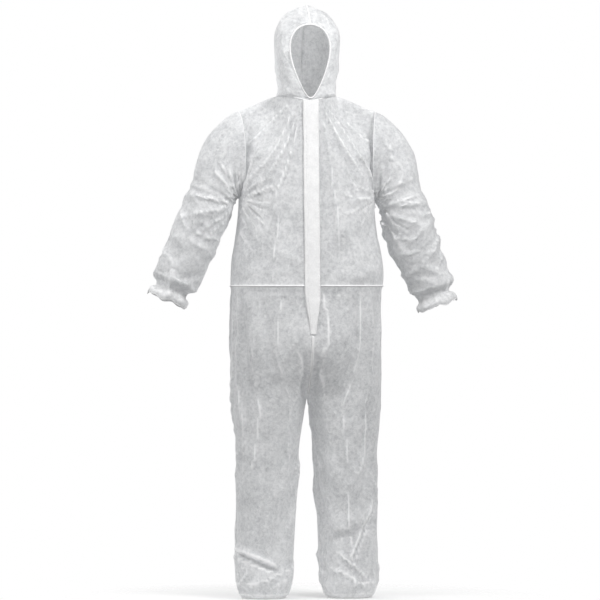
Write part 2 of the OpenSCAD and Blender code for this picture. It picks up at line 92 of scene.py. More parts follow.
class Finish:
    """A material, or the look of the room, that is being made."""
    def __init__(self, name, owner=None):
        self.material = owner or bpy.data.materials.new(name)
        self.material.use_nodes = True
        self.tree = self.material.node_tree
        self.tree.nodes.clear()

    def node(self, kind, settings=None, values=None, out=0):
        made = self.tree.nodes.new(kind)
        for key, value in (settings or {}).items():
            if key == "stops":
                ramp = made.color_ramp
                while len(ramp.elements) < len(value):
                    ramp.elements.new(0.5)
                for stop, (place, colour) in zip(ramp.elements, value):
                    stop.position, stop.color = place, (*colour, 1)
            else:
                setattr(made, key, value)
        for key, value in (values or {}).items():
            if isinstance(value, Amount):
                self.tree.links.new(value.socket, made.inputs[key])
            else:
                made.inputs[key].default_value = value
        return Amount(self, made.outputs[out]) if made.outputs else None

    def place(self):
        return self.node("ShaderNodeTexCoord", out="Object")

    def noise(self, scale, detail=3, rough=0.55, bend=0.0, at=None):
        return self.node("ShaderNodeTexNoise", None, {"Vector": at or self.place(), "Scale": scale,
                         "Detail": detail, "Roughness": rough, "Distortion": bend})

    def shade(self, amount, *stops):
        """A colour for each amount, between stops given as (place, grey or colour)."""
        stops = [(p, c if isinstance(c, tuple) else (c, c, c)) for p, c in stops]
        return self.node("ShaderNodeValToRGB", dict(stops=stops), {0: amount})

    def surface(self, settings, through=None):
        """The Principled shader, with a share of light let through the cloth."""
        shader = self.node("ShaderNodeBsdfPrincipled", None, settings)
        if through is not None:
            behind = self.node("ShaderNodeBsdfTranslucent", None, {"Color": (0.86, 0.87, 0.88, 1)})
            shader = self.node("ShaderNodeMixShader", None, {0: through, 1: shader, 2: behind})
        self.node("ShaderNodeOutputMaterial", None, {"Surface": shader})
        return self.material

# %% [markdown]
# ## Camera and light
# A garment is shown from the middle of its height through a long lens, so that nothing looms.
# The camera stands a little to one side. The white room around the suit is the main light, dimmer
# from below. A soft lamp from the upper right of the camera lets the folds show, a weaker one on
# the left keeps that side from going dull, and one behind shines through the thin cloth.
# %% Camera
MM = 0.001
TURNED, AIM, SPAN, LENS = math.radians(-7), Vector((-0.0187, 0.0023, -0.5737)), 1.74, 260
camera = bpy.data.objects.new("camera", bpy.data.cameras.new("camera"))
bpy.context.collection.objects.link(camera)
camera.data.lens = LENS
back = Vector((math.sin(TURNED), -math.cos(TURNED), 0))
camera.location = AIM + back * SPAN * LENS / camera.data.sensor_width
camera.rotation_euler = (-back).to_track_quat("-Z", "Y").to_euler()
bpy.context.scene.camera = camera
print("camera", [round(x, 2) for x in camera.location])

# %% Lamps and room
def lamp(name, place, aim, size, power):
    data = bpy.data.lights.new(name, "AREA")
    data.size, data.energy = size, power
    made = bpy.data.objects.new(name, data)
    bpy.context.collection.objects.link(made)
    made.location = place
    made.rotation_euler = (Vector(aim) - Vector(place)).to_track_quat("-Z", "Y").to_euler()

lamp("key", (1.2, -1.7, 1.25), (0, 0, -0.05), 0.9, 46)
lamp("fill", (-1.9, -0.9, 0.8), (-0.1, 0, -0.2), 1.2, 24)
lamp("behind", (-1.2, 1.8, 0.9), (0, 0, -0.2), 1.2, 12)

def white_room(overhead, below):
    """A white room: the eye sees plain white, and the suit is lit more from above than below."""
    bpy.context.scene.world = room = bpy.data.worlds.new("room")
    f = Finish("room", room)
    way = f.node("ShaderNodeTexCoord", out="Generated")
    height = f.node("ShaderNodeSeparateXYZ", None, {0: way}, out="Z")
    bright = f.node("ShaderNodeMapRange", None, {"Value": height, "From Min": -0.7, "From Max": 0.5,
                                                 "To Min": below, "To Max": overhead})
    seen = f.node("ShaderNodeLightPath", out="Is Camera Ray")
    strength = f.node("ShaderNodeMix", None, {"Factor": seen, "A": bright, "B": 1.0}, out="Result")
    white = f.node("ShaderNodeBackground", None, {"Color": (1, 1, 1, 1), "Strength": strength})
    f.node("ShaderNodeOutputWorld", None, {"Surface": white})

white_room(0.68, 0.18)
bpy.context.scene.view_settings.view_transform = "Standard"

# %% [markdown]
# ## Drafting tools
# The panels are drafted in millimetres, as a paper pattern is, and become metres when a mesh is
# made. A panel is a grid of points. Everything below works on whole grids at once with numpy,
# which keeps the drafting short and quick.
# %% Blending and noise
def smooth(k):
    c = np.clip(k, 0, 1)
    return c * c * (3 - 2 * c)

def mix(a, b, k):
    return a * (1 - k) + b * k

def signed_power(v, p):
    return np.sign(v) * np.abs(v) ** p

def noise(u, v, seed):
    """Smooth noise from -1 to 1, about one bump for each unit of u and v."""
    table = np.random.default_rng(seed).uniform(-1, 1, (97, 101))
    u0, v0 = np.floor(u).astype(int), np.floor(v).astype(int)
    fu, fv = smooth(u - u0), smooth(v - v0)
    at = lambda i, j: table[i % 97, j % 101]
    low, high = mix(at(u0, v0), at(u0 + 1, v0), fu), mix(at(u0, v0 + 1), at(u0 + 1, v0 + 1), fu)
    return mix(low, high, fv)

def folds(u, v, seed, sharp=2.2):
    """Fold lines from 0 to 1 that run along v, with a narrow crest and a wide hollow."""
    wander = 0.45 * noise(u * 0.6, v * 1.7, seed + 50)
    lines = (1 - np.abs(noise(u + wander, v, seed))) ** sharp
    return lines * (0.65 + 0.35 * noise(u * 0.4, v * 2, seed + 90))

def normals(g, ring=False):
    du = np.roll(g, -1, 1) - np.roll(g, 1, 1) if ring else np.gradient(g, axis=1)
    n = np.cross(np.gradient(g, axis=0), du)
    return n / np.maximum(np.linalg.norm(n, axis=2, keepdims=True), 1e-9)

def finer(g, ring=False):
    """Twice the points each way, along smooth curves through the old ones."""
    for axis in (0, 1):
        g = np.moveaxis(g, axis, 0)
        if ring and axis == 1:
            before, after, beyond = np.roll(g, 1, 0), np.roll(g, -1, 0), np.roll(g, -2, 0)
            mid = (9 * (g + after) - before - beyond) / 16
            g = np.stack([g, mid], 1).reshape(-1, *g.shape[1:])
        else:
            ends = np.concatenate([[2 * g[0] - g[1]], g, [2 * g[-1] - g[-2]]])
            mid = (9 * (ends[1:-2] + ends[2:-1]) - ends[:-3] - ends[3:]) / 16
            g = np.concatenate([np.stack([g[:-1], mid], 1).reshape(-1, *g.shape[1:]), g[-1:]])
        g = np.moveaxis(g, 0, axis)
    return g

# %% [markdown]
# The same grid helper makes every cloth mesh. Cloth is left one layer thick, because the real
# sheet is a few tenths of a millimetre, and its material lets light through from both sides.
# %% From grid to mesh
def add_mesh(name, points, faces):
    mesh = bpy.data.meshes.new(name)
    mesh.from_pydata((points.reshape(-1, 3) * MM).tolist(), [], faces)
    mesh.shade_smooth()
    made = bpy.data.objects.new(name, mesh)
    bpy.context.collection.objects.link(made)
    return made

def cloth_mesh(name, g, ring=False):
    rows, cols = g.shape[:2]
    i, j = np.meshgrid(np.arange(rows - 1), np.arange(cols if ring else cols - 1), indexing="ij")
    at = lambda a, b: a * cols + b % cols
    quads = np.stack([at(i, j), at(i + 1, j), at(i + 1, j + 1), at(i, j + 1)], -1).reshape(-1, 4)
    return add_mesh(name, g, quads.tolist())

# %% [markdown]
# ## The bodice pattern
# The front falls in a straight line from the throat, pushed out by the stomach; the back is
# rounder. A squared ellipse joins the two at each height, and the rows above the armpits run out
# to the armhole's edge.
# %% Bodice sizes and lines
CROWN, WAIST, CROTCH, HEM = 282, 533, 850, 1435
CHEST_W, WAIST_W, HIP_W, SHOULDER_W, HOOD_W = 394, 442, 450, 404, 188
THROAT, LEAN, BACK, ARMPIT = 98, 44, 128, 280
NECK_W, NECK_Y, NECK_Z, NAPE_Y, NAPE_Z = HOOD_W - 32, -11, 18, 75, 9
SHOULDER_Z, HOLE_Y, HOLE_IN, NECK_SHARE = -27, 70, 14, 0.55

def front_y(z):
    return -THROAT + z * LEAN / WAIST

def back_y(z):
    return mix(NAPE_Y, BACK, smooth((NAPE_Z - z) / 150)) + 10 * smooth((-z - 300) / 300)

def side_x(z):
    above = mix(CHEST_W / 2, WAIST_W / 2, smooth((-z - ARMPIT) / (WAIST - ARMPIT)))
    return np.where(z > -WAIST, above, mix(WAIST_W / 2, HIP_W / 2, smooth((-z - WAIST) / 130)))

def top_line(k, way):
    a = np.pi / 2 * np.minimum(k / NECK_SHARE, 1)
    y0, z0 = (-THROAT, 0) if way < 0 else (NAPE_Y, NAPE_Z)
    s = np.clip((k - NECK_SHARE) / (1 - NECK_SHARE), 0, 1)
    x = mix(NECK_W / 2 * np.sin(a), SHOULDER_W / 2, s)
    y = mix(NECK_Y + (y0 - NECK_Y) * np.cos(a), 0, s)
    z = np.where(k < NECK_SHARE, mix(z0, NECK_Z, np.sin(a)), mix(NECK_Z, SHOULDER_Z, (smooth(s) + s) / 2))
    return x, y, z

def armhole(v, way):
    s = np.sqrt(np.maximum(0, 1 - (1 - 2 * v) ** 2))
    return np.stack([mix(SHOULDER_W / 2, CHEST_W / 2, v) - HOLE_IN * s, way * HOLE_Y * s,
                     mix(SHOULDER_Z, -ARMPIT, v)], -1)

def squared(k, z, way):
    y0 = front_y(z) if way < 0 else back_y(z)
    turn = np.pi / 2 * k
    return side_x(z) * np.sin(turn) ** 0.8, y0 * np.cos(turn).clip(0) ** 0.8

# %% Bodice panel
def bodice(k, v, way):
    """v runs from 0 at the neckline through 1 at the armpits to 2 at the waist."""
    high, z_low = np.minimum(v, 1), mix(-ARMPIT, -WAIST, np.maximum(v - 1, 0))
    ax, ay, az = top_line(k, way)
    bx, _ = squared(k, np.full_like(k, -ARMPIT), way)
    w, c = smooth(high * 1.6), np.cos(np.pi / 2 * k).clip(0) ** 0.8
    y0, z0 = (-THROAT, 0) if way < 0 else (NAPE_Y, NAPE_Z)
    z_line = mix(z0, -ARMPIT, high)
    line = front_y(z_line) if way < 0 else back_y(z_line)
    upper = np.stack([mix(ax, bx, w), mix(ay + (line - y0) * c, line * c, w), mix(az, -ARMPIT, high)], -1)
    upper = mix(upper, armhole(high, way), (k ** 6)[..., None])
    x, y = squared(k, z_low, way)
    return np.where((v <= 1)[..., None], upper, np.stack([x, y, z_low], -1))

def even(curve, n):
    """n places, as shares from 0 to 1, that lie evenly along a curve of points."""
    run = np.concatenate([[0], np.cumsum(np.linalg.norm(np.diff(curve, axis=0), axis=1))])
    return np.interp(np.linspace(0, run[-1], n), run, np.linspace(0, 1, len(curve)))

def ease(g, weight, turns=12):
    """Evens out a corner of a panel where weight is 1, and keeps the panel's edges."""
    for _ in range(turns):
        around = (g[:-2, 1:-1] + g[2:, 1:-1] + g[1:-1, :-2] + g[1:-1, 2:]) / 4
        g[1:-1, 1:-1] = mix(g[1:-1, 1:-1], around, 0.8 * weight[1:-1, 1:-1, None])
    return g

neck_corner = lambda k, v: np.exp(-((k - NECK_SHARE) / 0.14) ** 2) * (1 - smooth(v / 0.7))
PLACKET = 18
def front_panel():
    k, v = np.meshgrid(even(bodice(np.linspace(0, 1, 200), np.full(200, 0.8), -1), 34),
                       np.linspace(0, 2, 62), indexing="xy")
    g = bodice(k, v, -1)
    # the edge beside the zip keeps flat and straight
    g[..., 0] = 6 + g[..., 0] * (1 - 6 / np.maximum(g[:, -1:, 0], 1))
    flat = 1 - smooth((g[..., 0] - PLACKET) / 26)
    g[..., 1] = mix(g[..., 1], g[:, :1, 1], flat)
    g[..., 2] = mix(g[..., 2], g[:, :1, 2], flat * smooth((v - 0.02) / 0.1))
    return ease(g, neck_corner(k, v)), v

def back_panel():
    half = even(bodice(np.linspace(0, 1, 200), np.full(200, 0.8), 1), 32)
    k, v = np.meshgrid(np.concatenate([half[:0:-1], half]), np.linspace(0, 2, 62), indexing="xy")
    g = bodice(k, v, 1)
    g[:, :31, 0] *= -1
    return ease(g, neck_corner(k, v))[::-1], v[::-1]

# %% [markdown]
# ## The trousers
# Each half is one piece of cloth from the waist down. Above the crotch it runs from the centre
# front round the hip to the centre back, and below it the two edges meet along the inside leg.
# %% Trouser half
SEAM_X, SEAT_Z, THIGH_W, KNEE_W, ANKLE_W, ANKLE_R, STANCE, FRILL = 3, -680, 222, 188, 170, 66, 126, 30
KNEE_Z, ANKLE_Z, EASE = -1025, -HEM + FRILL - 6, 4

def leg_x(z):
    return mix(SEAM_X + THIGH_W / 2, STANCE, (-z - CROTCH) / (HEM - CROTCH))

def leg_radius(z):
    thigh = mix(THIGH_W / 2, KNEE_W / 2, smooth((-z - CROTCH) / (-KNEE_Z - CROTCH)))
    shin = mix(KNEE_W / 2, ANKLE_W / 2, smooth((KNEE_Z - z) / (KNEE_Z - ANKLE_Z - 30)))
    hem = mix(ANKLE_W / 2, ANKLE_R + 2.5 * EASE, smooth((ANKLE_Z + 26 - z) / 44))
    frill = 12 * np.clip((ANKLE_Z - 8 - z) / 16, 0, 1) ** 2
    return np.select([z > KNEE_Z, z > ANKLE_Z + 26], [thigh, shin], hem - frill)

def trouser_half():
    z = np.linspace(-WAIST, -HEM, 102)[:, None] + np.zeros(78)
    k = np.linspace(0, 1, 78) + np.zeros_like(z)
    down = np.clip((SEAT_Z - z) / (CROTCH + SEAT_Z), 0, 1)
    inner = 0.35 * smooth(down) + 0.65 * down
    cx, e = mix(SEAM_X, SEAM_X + THIGH_W / 2, inner), mix(0.8, 1, inner)
    hw = side_x(z) - cx
    shut = np.arccos(np.clip(((cx - SEAM_X) / hw) ** (1 / e), 0, 1)) * smooth((z + CROTCH + 20) / 20)
    turn = mix(shut, 2 * np.pi - shut, k)
    front = mix(front_y(np.maximum(z, SEAT_Z)), -THIGH_W / 2, smooth(inner))
    behind = mix(back_y(z), THIGH_W / 2, smooth(inner))
    c, s = signed_power(np.cos(turn), e), signed_power(np.sin(turn), e)
    seat = np.stack([cx - hw * c, np.where(s > 0, front * s, -behind * s), z], -1)
    r = leg_radius(z)
    leg = np.stack([leg_x(z) - r * np.cos(turn), -r * np.sin(turn), z], -1)
    g = np.where((z > -CROTCH)[..., None], seat, leg)
    flat = (1 - smooth((g[..., 0] - PLACKET) / 30)) * (k < 0.2) * smooth((z - SEAT_Z + 10) / 40)
    g[..., 1] = mix(g[..., 1], front_y(z), flat)
    # the centre edges meet where there is no zip, and the curve at the crotch is eased
    shut = np.where(k < 0.5, smooth((SEAT_Z + 12 - z) / 14), 1) * (z > -CROTCH - 20)
    open_edge = np.where(k < 0.5, 1 - shut, 0) * (z > -CROTCH)
    g[..., 0] += (3.4 * open_edge - (SEAM_X - 0.4) * shut) * np.exp(-np.abs(g[..., 0] - SEAM_X) / 9)
    ease = np.exp(-((z[1:-1] + CROTCH) / 60) ** 2)[..., None]
    for _ in range(24):
        g[1:-1] = mix(g[1:-1], (g[:-2] + g[2:]) / 2, 0.9 * ease * (1, 1, 0))
    return g, k, z

# %% [markdown]
# ## Sleeves and hood
# A sleeve starts on the armhole's edge, fans round under the shoulder into a round tube, and runs
# on to the wrist elastic and a short frill. The hood is two mirrored halves from the face opening
# to the seam over the head; low down they run into the neckline.
# %% Sleeve
SLEEVE_W, FOREARM_W, UNDERARM, WRIST_R, WRIST_RUN, FLARE = 152, 134, 322, 44, 26, 30
OUT = {"left": math.radians(19.5), "right": math.radians(24)}
# the grid's rows over the shoulder, its column under the arm and the row where it is divided, and
# the finer grid's first row of frill
HEAD_ROWS, PIT_COLUMN, DIVIDE_ROW, FRILL_ROW = 14, 28, 16, 101

def sleeve(out):
    along = np.array([math.sin(out), 0, -math.cos(out)])
    across = np.array([math.cos(out), 0, math.sin(out)])
    pit, most = np.array([CHEST_W / 2, 0, -ARMPIT]), math.pi / 2 - out
    a = np.linspace(0, 2 * np.pi, 2 * PIT_COLUMN, endpoint=False)
    rings = []
    for turn in np.linspace(0, most, HEAD_ROWS):
        near = 1 - turn / most
        h = mix(SLEEVE_W, ARMPIT + SHOULDER_Z, near ** 1.6) + 90 * near ** 2 * (1 - near)
        c = (1 + np.cos(a)) / 2
        up = np.array([math.sin(turn), 0, math.cos(turn)])
        side = near * ((SHOULDER_W - CHEST_W) / 2 * c - HOLE_IN * np.abs(np.sin(a)))
        base = pit + along * 20 * (1 - near)
        rings.append(base + up * (h * c)[:, None] + np.stack([side, HOLE_Y * np.sin(a), 0 * a], -1))
    for s in np.linspace(28, UNDERARM + 6 + FRILL, 44):
        w = mix(SLEEVE_W, FOREARM_W, smooth((s - 90) / (UNDERARM - WRIST_RUN - 90)))
        if s > UNDERARM - WRIST_RUN:
            w = mix(FOREARM_W, 2 * (WRIST_R + EASE), smooth((s - UNDERARM + WRIST_RUN) / (WRIST_RUN - 6)))
        if s > UNDERARM + 6:
            w += FLARE * math.sin(0.7 * math.pi * (s - UNDERARM - 6) / FRILL)
        uneven = (3 * np.sin(5 * a + 1) + 2 * np.sin(9 * a + 0.4) - 4) * smooth((s - UNDERARM) / FRILL)
        middle = pit + along * (s + uneven[:, None]) + across * (SLEEVE_W / 2 - 4 * smooth(s / UNDERARM))
        deep = mix(HOLE_Y * 2 / SLEEVE_W, 1, smooth(s / UNDERARM))
        circle = across * np.cos(a)[:, None] + np.stack([0 * a, np.sin(a) * deep, 0 * a], -1)
        rings.append(middle + w / 2 * circle)
    g = np.array(rings)
    s = (g - pit) @ along
    return g, a + np.zeros(g.shape[:2]), s

# %% Hood half
FACE_H, FACE_W, THROAT_Z = 216, 116, 6

def face_edge(t, grow=0):
    return np.stack([np.sin(t) * ((0.476 + 0.218 * np.cos(t)) * FACE_W + grow),
                     -THROAT + 10 + 10 * np.cos(t),
                     THROAT_Z + FACE_H / 2 * (1 + np.cos(t)) + grow * np.cos(t)], -1)

def hood_half():
    from_face = (1 - np.cos(np.linspace(0, np.pi, 40))) / 2
    t, s = np.meshgrid(np.linspace(0, np.pi, 52), from_face, indexing="ij")
    o = face_edge(t)
    by = 5 + 80 * np.sin(t) + (NAPE_Y - 5) / 2 * (1 - np.cos(t))
    bz = NAPE_Z + 8 + (CROWN - NAPE_Z - 8) / 2 * (1 + np.cos(t))
    wide = (HOOD_W / 2 - 16) * np.sqrt(np.sin(np.minimum(t * 1.3, np.pi / 2)))
    g = np.stack([o[..., 0] * (1 - s) ** 2 + wide * np.sin(np.pi * s).clip(0) ** mix(0.7, 1, t / np.pi),
                  mix(o[..., 1], by, (1 - np.cos(np.pi * s)) / 2),
                  o[..., 2] + (bz - o[..., 2]) * np.sin(np.pi / 2 * s)
                  + 5 * (1 - np.cos(t)) * np.sin(np.pi * s)], -1)
    way = np.where(s < 0.5, -1.0, 1.0)
    share = np.where(s < 0.5, s, 1 - s) * 2
    front, behind = (np.stack(top_line(share * NECK_SHARE, side), -1) for side in (-1, 1))
    neck = np.where((way < 0)[..., None], front, behind)
    return mix(g, neck, smooth((t - 2.62) / 0.52)[..., None]), t, s

# %% [markdown]
# ## Making cloth of a pattern
# A smooth pattern looks like plastic. The cloth is cut a few per cent larger than the room it
# hangs in, so it has to buckle, and that is how the folds of a baggy suit come about. Each panel
# first gets the folds that wearing presses into it, then Blender's Cloth lets the spare cloth
# find its own place while the seams hold the edges. Soft springs keep it near its pattern.
# %% The cloth run
FRAMES = 22
waiting = []

def hang(name, g, pressed, held, spare, hold=0.12, ring=False, stiff=1.6):
    """Waits for the run. pressed is the fold height in mm, held is 1 on sewn edges, spare is x, y, z."""
    start = g + normals(g, ring) * (pressed * (1 - held))[..., None]
    o = cloth_mesh(name, start, ring)
    o.shape_key_add(name="Basis")
    cut = o.shape_key_add(name="cut")
    middle = start.reshape(-1, 3).mean(0)
    cut.data.foreach_set("co", ((middle + (start - middle) * (1 + np.array(spare))) * MM).ravel())
    group = o.vertex_groups.new(name="held")
    weight = np.round(hold + (1 - hold) * held, 2).ravel()
    for w in np.unique(weight):
        group.add(np.flatnonzero(weight == w).tolist(), float(w), "REPLACE")
    cloth = o.modifiers.new("cloth", "CLOTH")
    st = cloth.settings
    st.quality, st.mass, st.air_damping = 5, 0.15, 6
    st.tension_stiffness = st.compression_stiffness = 22
    st.shear_stiffness, st.bending_stiffness = 8, stiff
    st.tension_damping = st.compression_damping = 12
    st.vertex_group_mass, st.pin_stiffness, st.rest_shape_key = "held", 1.0, cut
    st.effector_weights.gravity = 0.25
    cloth.collision_settings.use_collision = False
    cloth.point_cache.frame_start, cloth.point_cache.frame_end = 1, FRAMES
    waiting.append((name, o, start, ring))

def run_cloth(most=16):
    """Steps all panels together, keeps each point within most mm of its start, and clears up."""
    scene, found = bpy.context.scene, {}
    for f in range(1, FRAMES + 1):
        scene.frame_set(f)
    graph = bpy.context.evaluated_depsgraph_get()
    for name, o, start, ring in waiting:
        now = np.empty(start.size)
        o.evaluated_get(graph).data.vertices.foreach_get("co", now)
        move = now.reshape(start.shape) / MM - start
        far = np.linalg.norm(move, axis=2, keepdims=True)
        found[name] = start + move * np.minimum(1, most / np.maximum(far, 1e-6))
        print(f"{name}: cloth moved {far.mean():.1f} mm on average, {far.max():.1f} at most")
        mesh = o.data
        bpy.data.objects.remove(o)
        bpy.data.meshes.remove(mesh)
    scene.frame_set(1)
    waiting.clear()
    return found

def edge_hold(shape, top=0, bottom=0, left=0, right=0, soft=3):
    """1 on the edges that are sewn down, falling to 0 over soft points inwards."""
    i, j = np.arange(shape[0])[:, None], np.arange(shape[1])[None, :]
    near = [(i, top), (shape[0] - 1 - i, bottom), (j, left), (shape[1] - 1 - j, right)]
    return np.max([w * (1 - smooth(d / soft)) + 0 * i + 0 * j for d, w in near], axis=0)

# %% [markdown]
# ## Pressing folds into the panels
# Each area of a worn suit folds its own way: lines that run from the zip to the armpits, upright
# folds below the chest and down the legs, short gathers under the waist seam, rings round the
# sleeves, and small crumples at the ankles and wrists where elastic draws the cloth in.
# %% Bodice folds
def bodice_folds(g, v, seed, slope):
    x, z = g[..., 0], g[..., 2]
    angle, reach = np.arctan2(x, 60 - z), np.hypot(x, z - 60)
    fan = folds(angle * slope, reach / 300, seed, 6) * 13
    fan = fan * smooth((reach - 60) / 90) * (1 - 0.4 * smooth((v - 1.1) / 0.6))
    pit = np.exp(-(((np.abs(x) - 172) / 46) ** 2 + ((z + 205) / 90) ** 2))
    tug = folds((np.abs(x) + z * 0.55) / 30, (z - np.abs(x)) / 120, seed + 1, 3) * 12 * pit
    upright = folds(x / 44, z / 330, seed + 2, 5) * 10 * smooth((v - 1.15) / 0.5)
    gather = folds(x / 17, z / 90, seed + 4, 2) * 2.4 * smooth((v - 1.78) / 0.2)
    blouse = 3 * smooth((v - 1.4) / 0.4) * (1 - smooth((v - 1.8) / 0.2))
    return fan + tug + upright + gather + blouse + 4 * noise(x / 75, z / 90, seed + 3) - 4

front, front_v = front_panel()
for way, seed, slope in ((1, 11, 8.5), (-1, 23, 9.0)):
    name = "front_panel_left" if way > 0 else "front_panel_right"
    g = front if way > 0 else front[:, ::-1] * (-1, 1, 1)
    x = g * (way, 1, 1)
    hold = edge_hold(g.shape, 1, 1, 1, 1)
    flat = 1 - smooth((x[..., 0] - PLACKET) / 40)
    hang(name, g, bodice_folds(x, front_v if way > 0 else front_v[:, ::-1], seed, slope),
         np.maximum(hold, 0.9 * flat), (0.03, 0.03, 0.045))
behind, back_v = back_panel()
# the back has no zip for folds to run from, so it is smoother
hang("back_panel", behind, 0.5 * bodice_folds(behind, back_v, 31, 5.0),
     edge_hold(behind.shape, 1, 1, 1, 1), (0.03, 0.03, 0.045))

# %% Trouser folds
def trouser_folds(g, k, z, seed):
    around = k * 700
    body = smooth((-z - WAIST) / 60) * (1 - smooth((-z - 1385) / 30))
    gather = folds(around / 17, z / 160, seed, 2) * 5 * np.exp((z + WAIST) / 60) * smooth((-z - WAIST) / 8)
    long = folds(around / 62 + z / 800, z / 420, seed + 1, 5) * 10 * body
    soft = 7 * noise(around / 60, z / 260, seed + 2) * body
    slant = folds((around * 0.7 + z) / 76, (around - z) / 330, seed + 3, 5) * 7
    knee = slant * np.exp(-((z - KNEE_Z + 20) / 170) ** 2)
    crotch = np.exp(-((np.minimum(k, 1 - k) / 0.17) ** 2 + ((z + 820) / 90) ** 2))
    pull = folds((around * 1.1 + z + 850) / 34, (around - z) / 200, seed + 4, 3) * 9 * crotch
    ankle = folds((around * 0.42 + z) / 34, (around - z * 0.4) / 150, seed + 5, 3) * 13
    ankle = ankle * np.exp(-((z + 1345) / 42) ** 2)
    draw = folds(around / 30, z / 160, seed + 6, 3) * 4 * smooth((-z - 1375) / 30)
    x = np.abs(g[..., 0])
    # the cloth sinks beside the rise seam, and sags over the ankle elastic
    groove = -11 * np.exp(-((x - 15) / 11) ** 2) * smooth((-z - 690) / 110) * smooth((z + CROTCH + 30) / 60)
    sag = 4.5 * np.exp(-((z + 1392) / 24) ** 2) * (0.6 + 0.8 * noise(around / 50, z / 50, seed + 8))
    return gather + long + soft + knee + pull + ankle + draw + groove + sag \
        + 3 * noise(around / 40, z / 60, seed + 7) - 6

def deep_crease(g, tip, end, deep, width):
    """A crease in the front of a leg from tip to end, given as x and z, with the cloth hanging over it."""
    x, z = g[..., 0], g[..., 2]
    share = (x - tip[0]) / (end[0] - tip[0])
    down = z - mix(tip[1], end[1], share)
    here = smooth((share + 0.12) / 0.2) * smooth((1.12 - share) / 0.2) * (g[..., 1] < 0)
    roll, groove = np.exp(-((down - 2.2 * width) / (1.6 * width)) ** 2), np.exp(-(down / width) ** 2)
    return here * deep * (0.8 * roll - groove)

half, half_k, half_z = trouser_half()
for side, way, seed in (("left", 1, 41), ("right", -1, 67)):
    g = half if way > 0 else half[:, ::-1] * (-1, 1, 1)
    k, z = (half_k, half_z) if way > 0 else (half_k[:, ::-1], half_z)
    hold = edge_hold(g.shape, 1, 0.6, 1, 1, 2)
    pressed = trouser_folds(g, k, z, seed)
    if side == "right":
        pressed += deep_crease(g, (-212, -1305), (-100, -1350), 13, 7)
    else:
        pressed += deep_crease(g, (190, -1215), (70, -1262), 7, 14) \
            + deep_crease(g, (186, -1180), (120, -1330), 8, 8)
    hang(f"trousers_{side}", g, pressed, hold, (0.045, 0.045, 0.03), hold=0.08)

# %% Sleeve and hood folds
for side, way, seed in (("left", 1, 83), ("right", -1, 97)):
    g, a, s = sleeve(OUT[side])
    if way < 0:
        g, a, s = g[:, ::-1] * (-1, 1, 1), a[:, ::-1], s
    pit = g[HEAD_ROWS - 1, PIT_COLUMN]
    low = np.linalg.norm(g - pit, axis=2)
    rise = np.arctan2(g[..., 2] - pit[2], g[..., 0] * way - pit[0] * way)
    fan = folds(rise * 5.5 + 1, low / 120, seed + 3, 3) * 15 * np.exp(-((low - 90) / 85) ** 2)
    rings = folds((s + 16 * np.sin(a + 1)) / 36, a * 0.9, seed, 2.5) * 12 * smooth((s - 20) / 60)
    twist = folds((s + a * 26) / 30, (s - a * 50) / 110, seed + 1, 3) * 6 * smooth((s - 10) / 60)
    draw = folds(a * 60 / 13, s / 80, seed + 2, 2) * 6 * smooth((s - UNDERARM + 45) / 30)
    hold = np.maximum(edge_hold(g.shape, 1, 0.7, 0, 0), 0.85 * (np.abs(s - UNDERARM) < 6))
    hang(f"sleeve_{side}", g, fan + rings + twist + draw - 7, hold, (0.045, 0.045, 0.06),
         hold=0.08, ring=True)

half, hood_t, hood_s = hood_half()
for side, way, seed in (("left", 1, 113), ("right", -1, 131)):
    g = half if way > 0 else half[:, ::-1] * (-1, 1, 1)
    t, s = (hood_t, hood_s) if way > 0 else (hood_t[:, ::-1], hood_s[:, ::-1])
    z = g[..., 2]
    draw = folds(t * 21, s * 2.5, seed) * 2.4 * np.exp(-s / 0.12)
    collar = folds((z + 40 * s) / 26, s * 2.6, seed + 1, 3) * 8 * np.exp(-((z - 34) / 34) ** 2)
    soft = folds(s * 3.4 + t, t * 1.2, seed + 2, 4) * 5 + 3 * noise(s * 5, t * 2.5, seed + 3)
    skirt = 9 * np.exp(-((z - 24) / 15) ** 2) * smooth(s / 0.25)
    hold = edge_hold(g.shape, 1, 1, 1, 1, 2)
    hang(f"hood_{side}", g, draw + collar + soft + skirt - 2.5, hold, (0.03, 0.03, 0.03))
clock = time.time()
cloth = run_cloth()
print(f"cloth run took {time.time() - clock:.0f} s")

# %% [markdown]
# ## Finishing the panels
# The simulated grid is made twice as fine, and a light crumple is added, the papery creasing that
# packing leaves in this cloth. Each point also stores how sharply the cloth is folded there, as
# painted light for the colour: a crest is painted whiter, a painted highlight for the sheet seen
# edge-on, and a hollow is painted darker, a painted shade.
# %% Crumple and fold marks
def crumple(g, seed, height=0.7):
    u = np.cumsum(np.linalg.norm(np.diff(g, axis=1, prepend=g[:, :1]), axis=2), axis=1)
    v = np.cumsum(np.linalg.norm(np.diff(g, axis=0, prepend=g[:1]), axis=2), axis=0)
    lines = 0
    for n, (angle, size) in enumerate(((0.3, 34), (1.2, 27), (2.1, 31))):
        a, b = u * math.cos(angle) + v * math.sin(angle), v * math.cos(angle) - u * math.sin(angle)
        lines = lines + folds(a / size, b / size / 3, seed + 7 * n, 6)
    return height * (lines - 0.5)

def painted_fold_shading(g, ring):
    """Painted light for the colour: 1 on the sharpest crests, which are a tenth of the cloth, as a painted
    highlight, and below 0 in the sharpest hollows, as a painted shade.
    """
    n, bend = normals(g, ring), np.zeros(g.shape[:2])
    for axis in (0, 1):
        turn = ((2 * g - np.roll(g, 1, axis) - np.roll(g, -1, axis)) * n).sum(2)
        if not (ring and axis == 1):
            ends = [slice(None)] * 2
            ends[axis] = [0, -1]
            turn[tuple(ends)] = 0
        bend += turn
    deepest, hollow, low, high = np.percentile(bend, (1, 9, 86, 98))
    return smooth((bend - low) / (high - low)) - 1.2 * smooth((bend - hollow) / (deepest - hollow))

